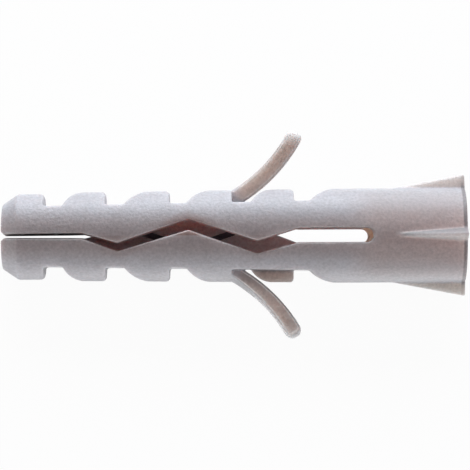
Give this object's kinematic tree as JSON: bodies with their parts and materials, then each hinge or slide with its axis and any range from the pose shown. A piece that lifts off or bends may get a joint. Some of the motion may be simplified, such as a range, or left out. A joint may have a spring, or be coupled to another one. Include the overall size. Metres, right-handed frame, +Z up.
{
  "type": "nylon wall plug",
  "caption": "Nylon expansion wall plug with a zigzag slit, ramped teeth, curved locking tongues, a finned head and a tapering screw bore.",
  "frame": {"origin": "bottom centre of the lying plug, on the floor that it rests on", "axes": "+X along the plug from the nose to the head, +Z up, +Y to the side of the raised tongue"},
  "size_m": [0.0502, 0.0214, 0.0115],
  "materials": {
    "nylon": "fine satin skin of a mould, slightly translucent pale grey"
  },
  "bodies": {
    "root": {"wall_plug": "nylon"}
  },
  "joints": []
}
